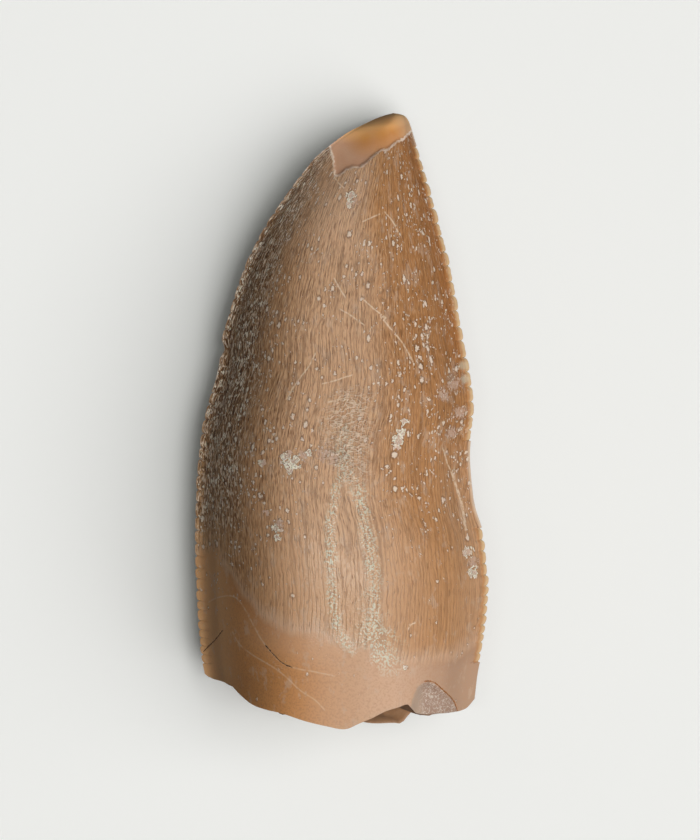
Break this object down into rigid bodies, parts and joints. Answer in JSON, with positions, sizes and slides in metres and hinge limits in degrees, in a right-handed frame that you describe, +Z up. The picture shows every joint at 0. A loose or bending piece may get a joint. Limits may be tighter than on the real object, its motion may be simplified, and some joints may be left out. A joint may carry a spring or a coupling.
{
  "type": "fossil majungasaurus tooth",
  "caption": "Fossil tooth of a meat-eating dinosaur: a curved, flattened blade with serrated front and back edges, a flaked tip and a short stub of broken root. It lies on its side.",
  "frame": {"origin": "middle of the tooth's bounding box, on the surface that it lies on", "axes": "+Y from the broken root to the tip, +Z up out of the outer (cheek) side, -X towards the front keel"},
  "size_m": [0.011, 0.023, 0.0061],
  "materials": {
    "fossil_enamel": "satin"
  },
  "bodies": {
    "root": {"tooth": "fossil_enamel"}
  },
  "joints": []
}
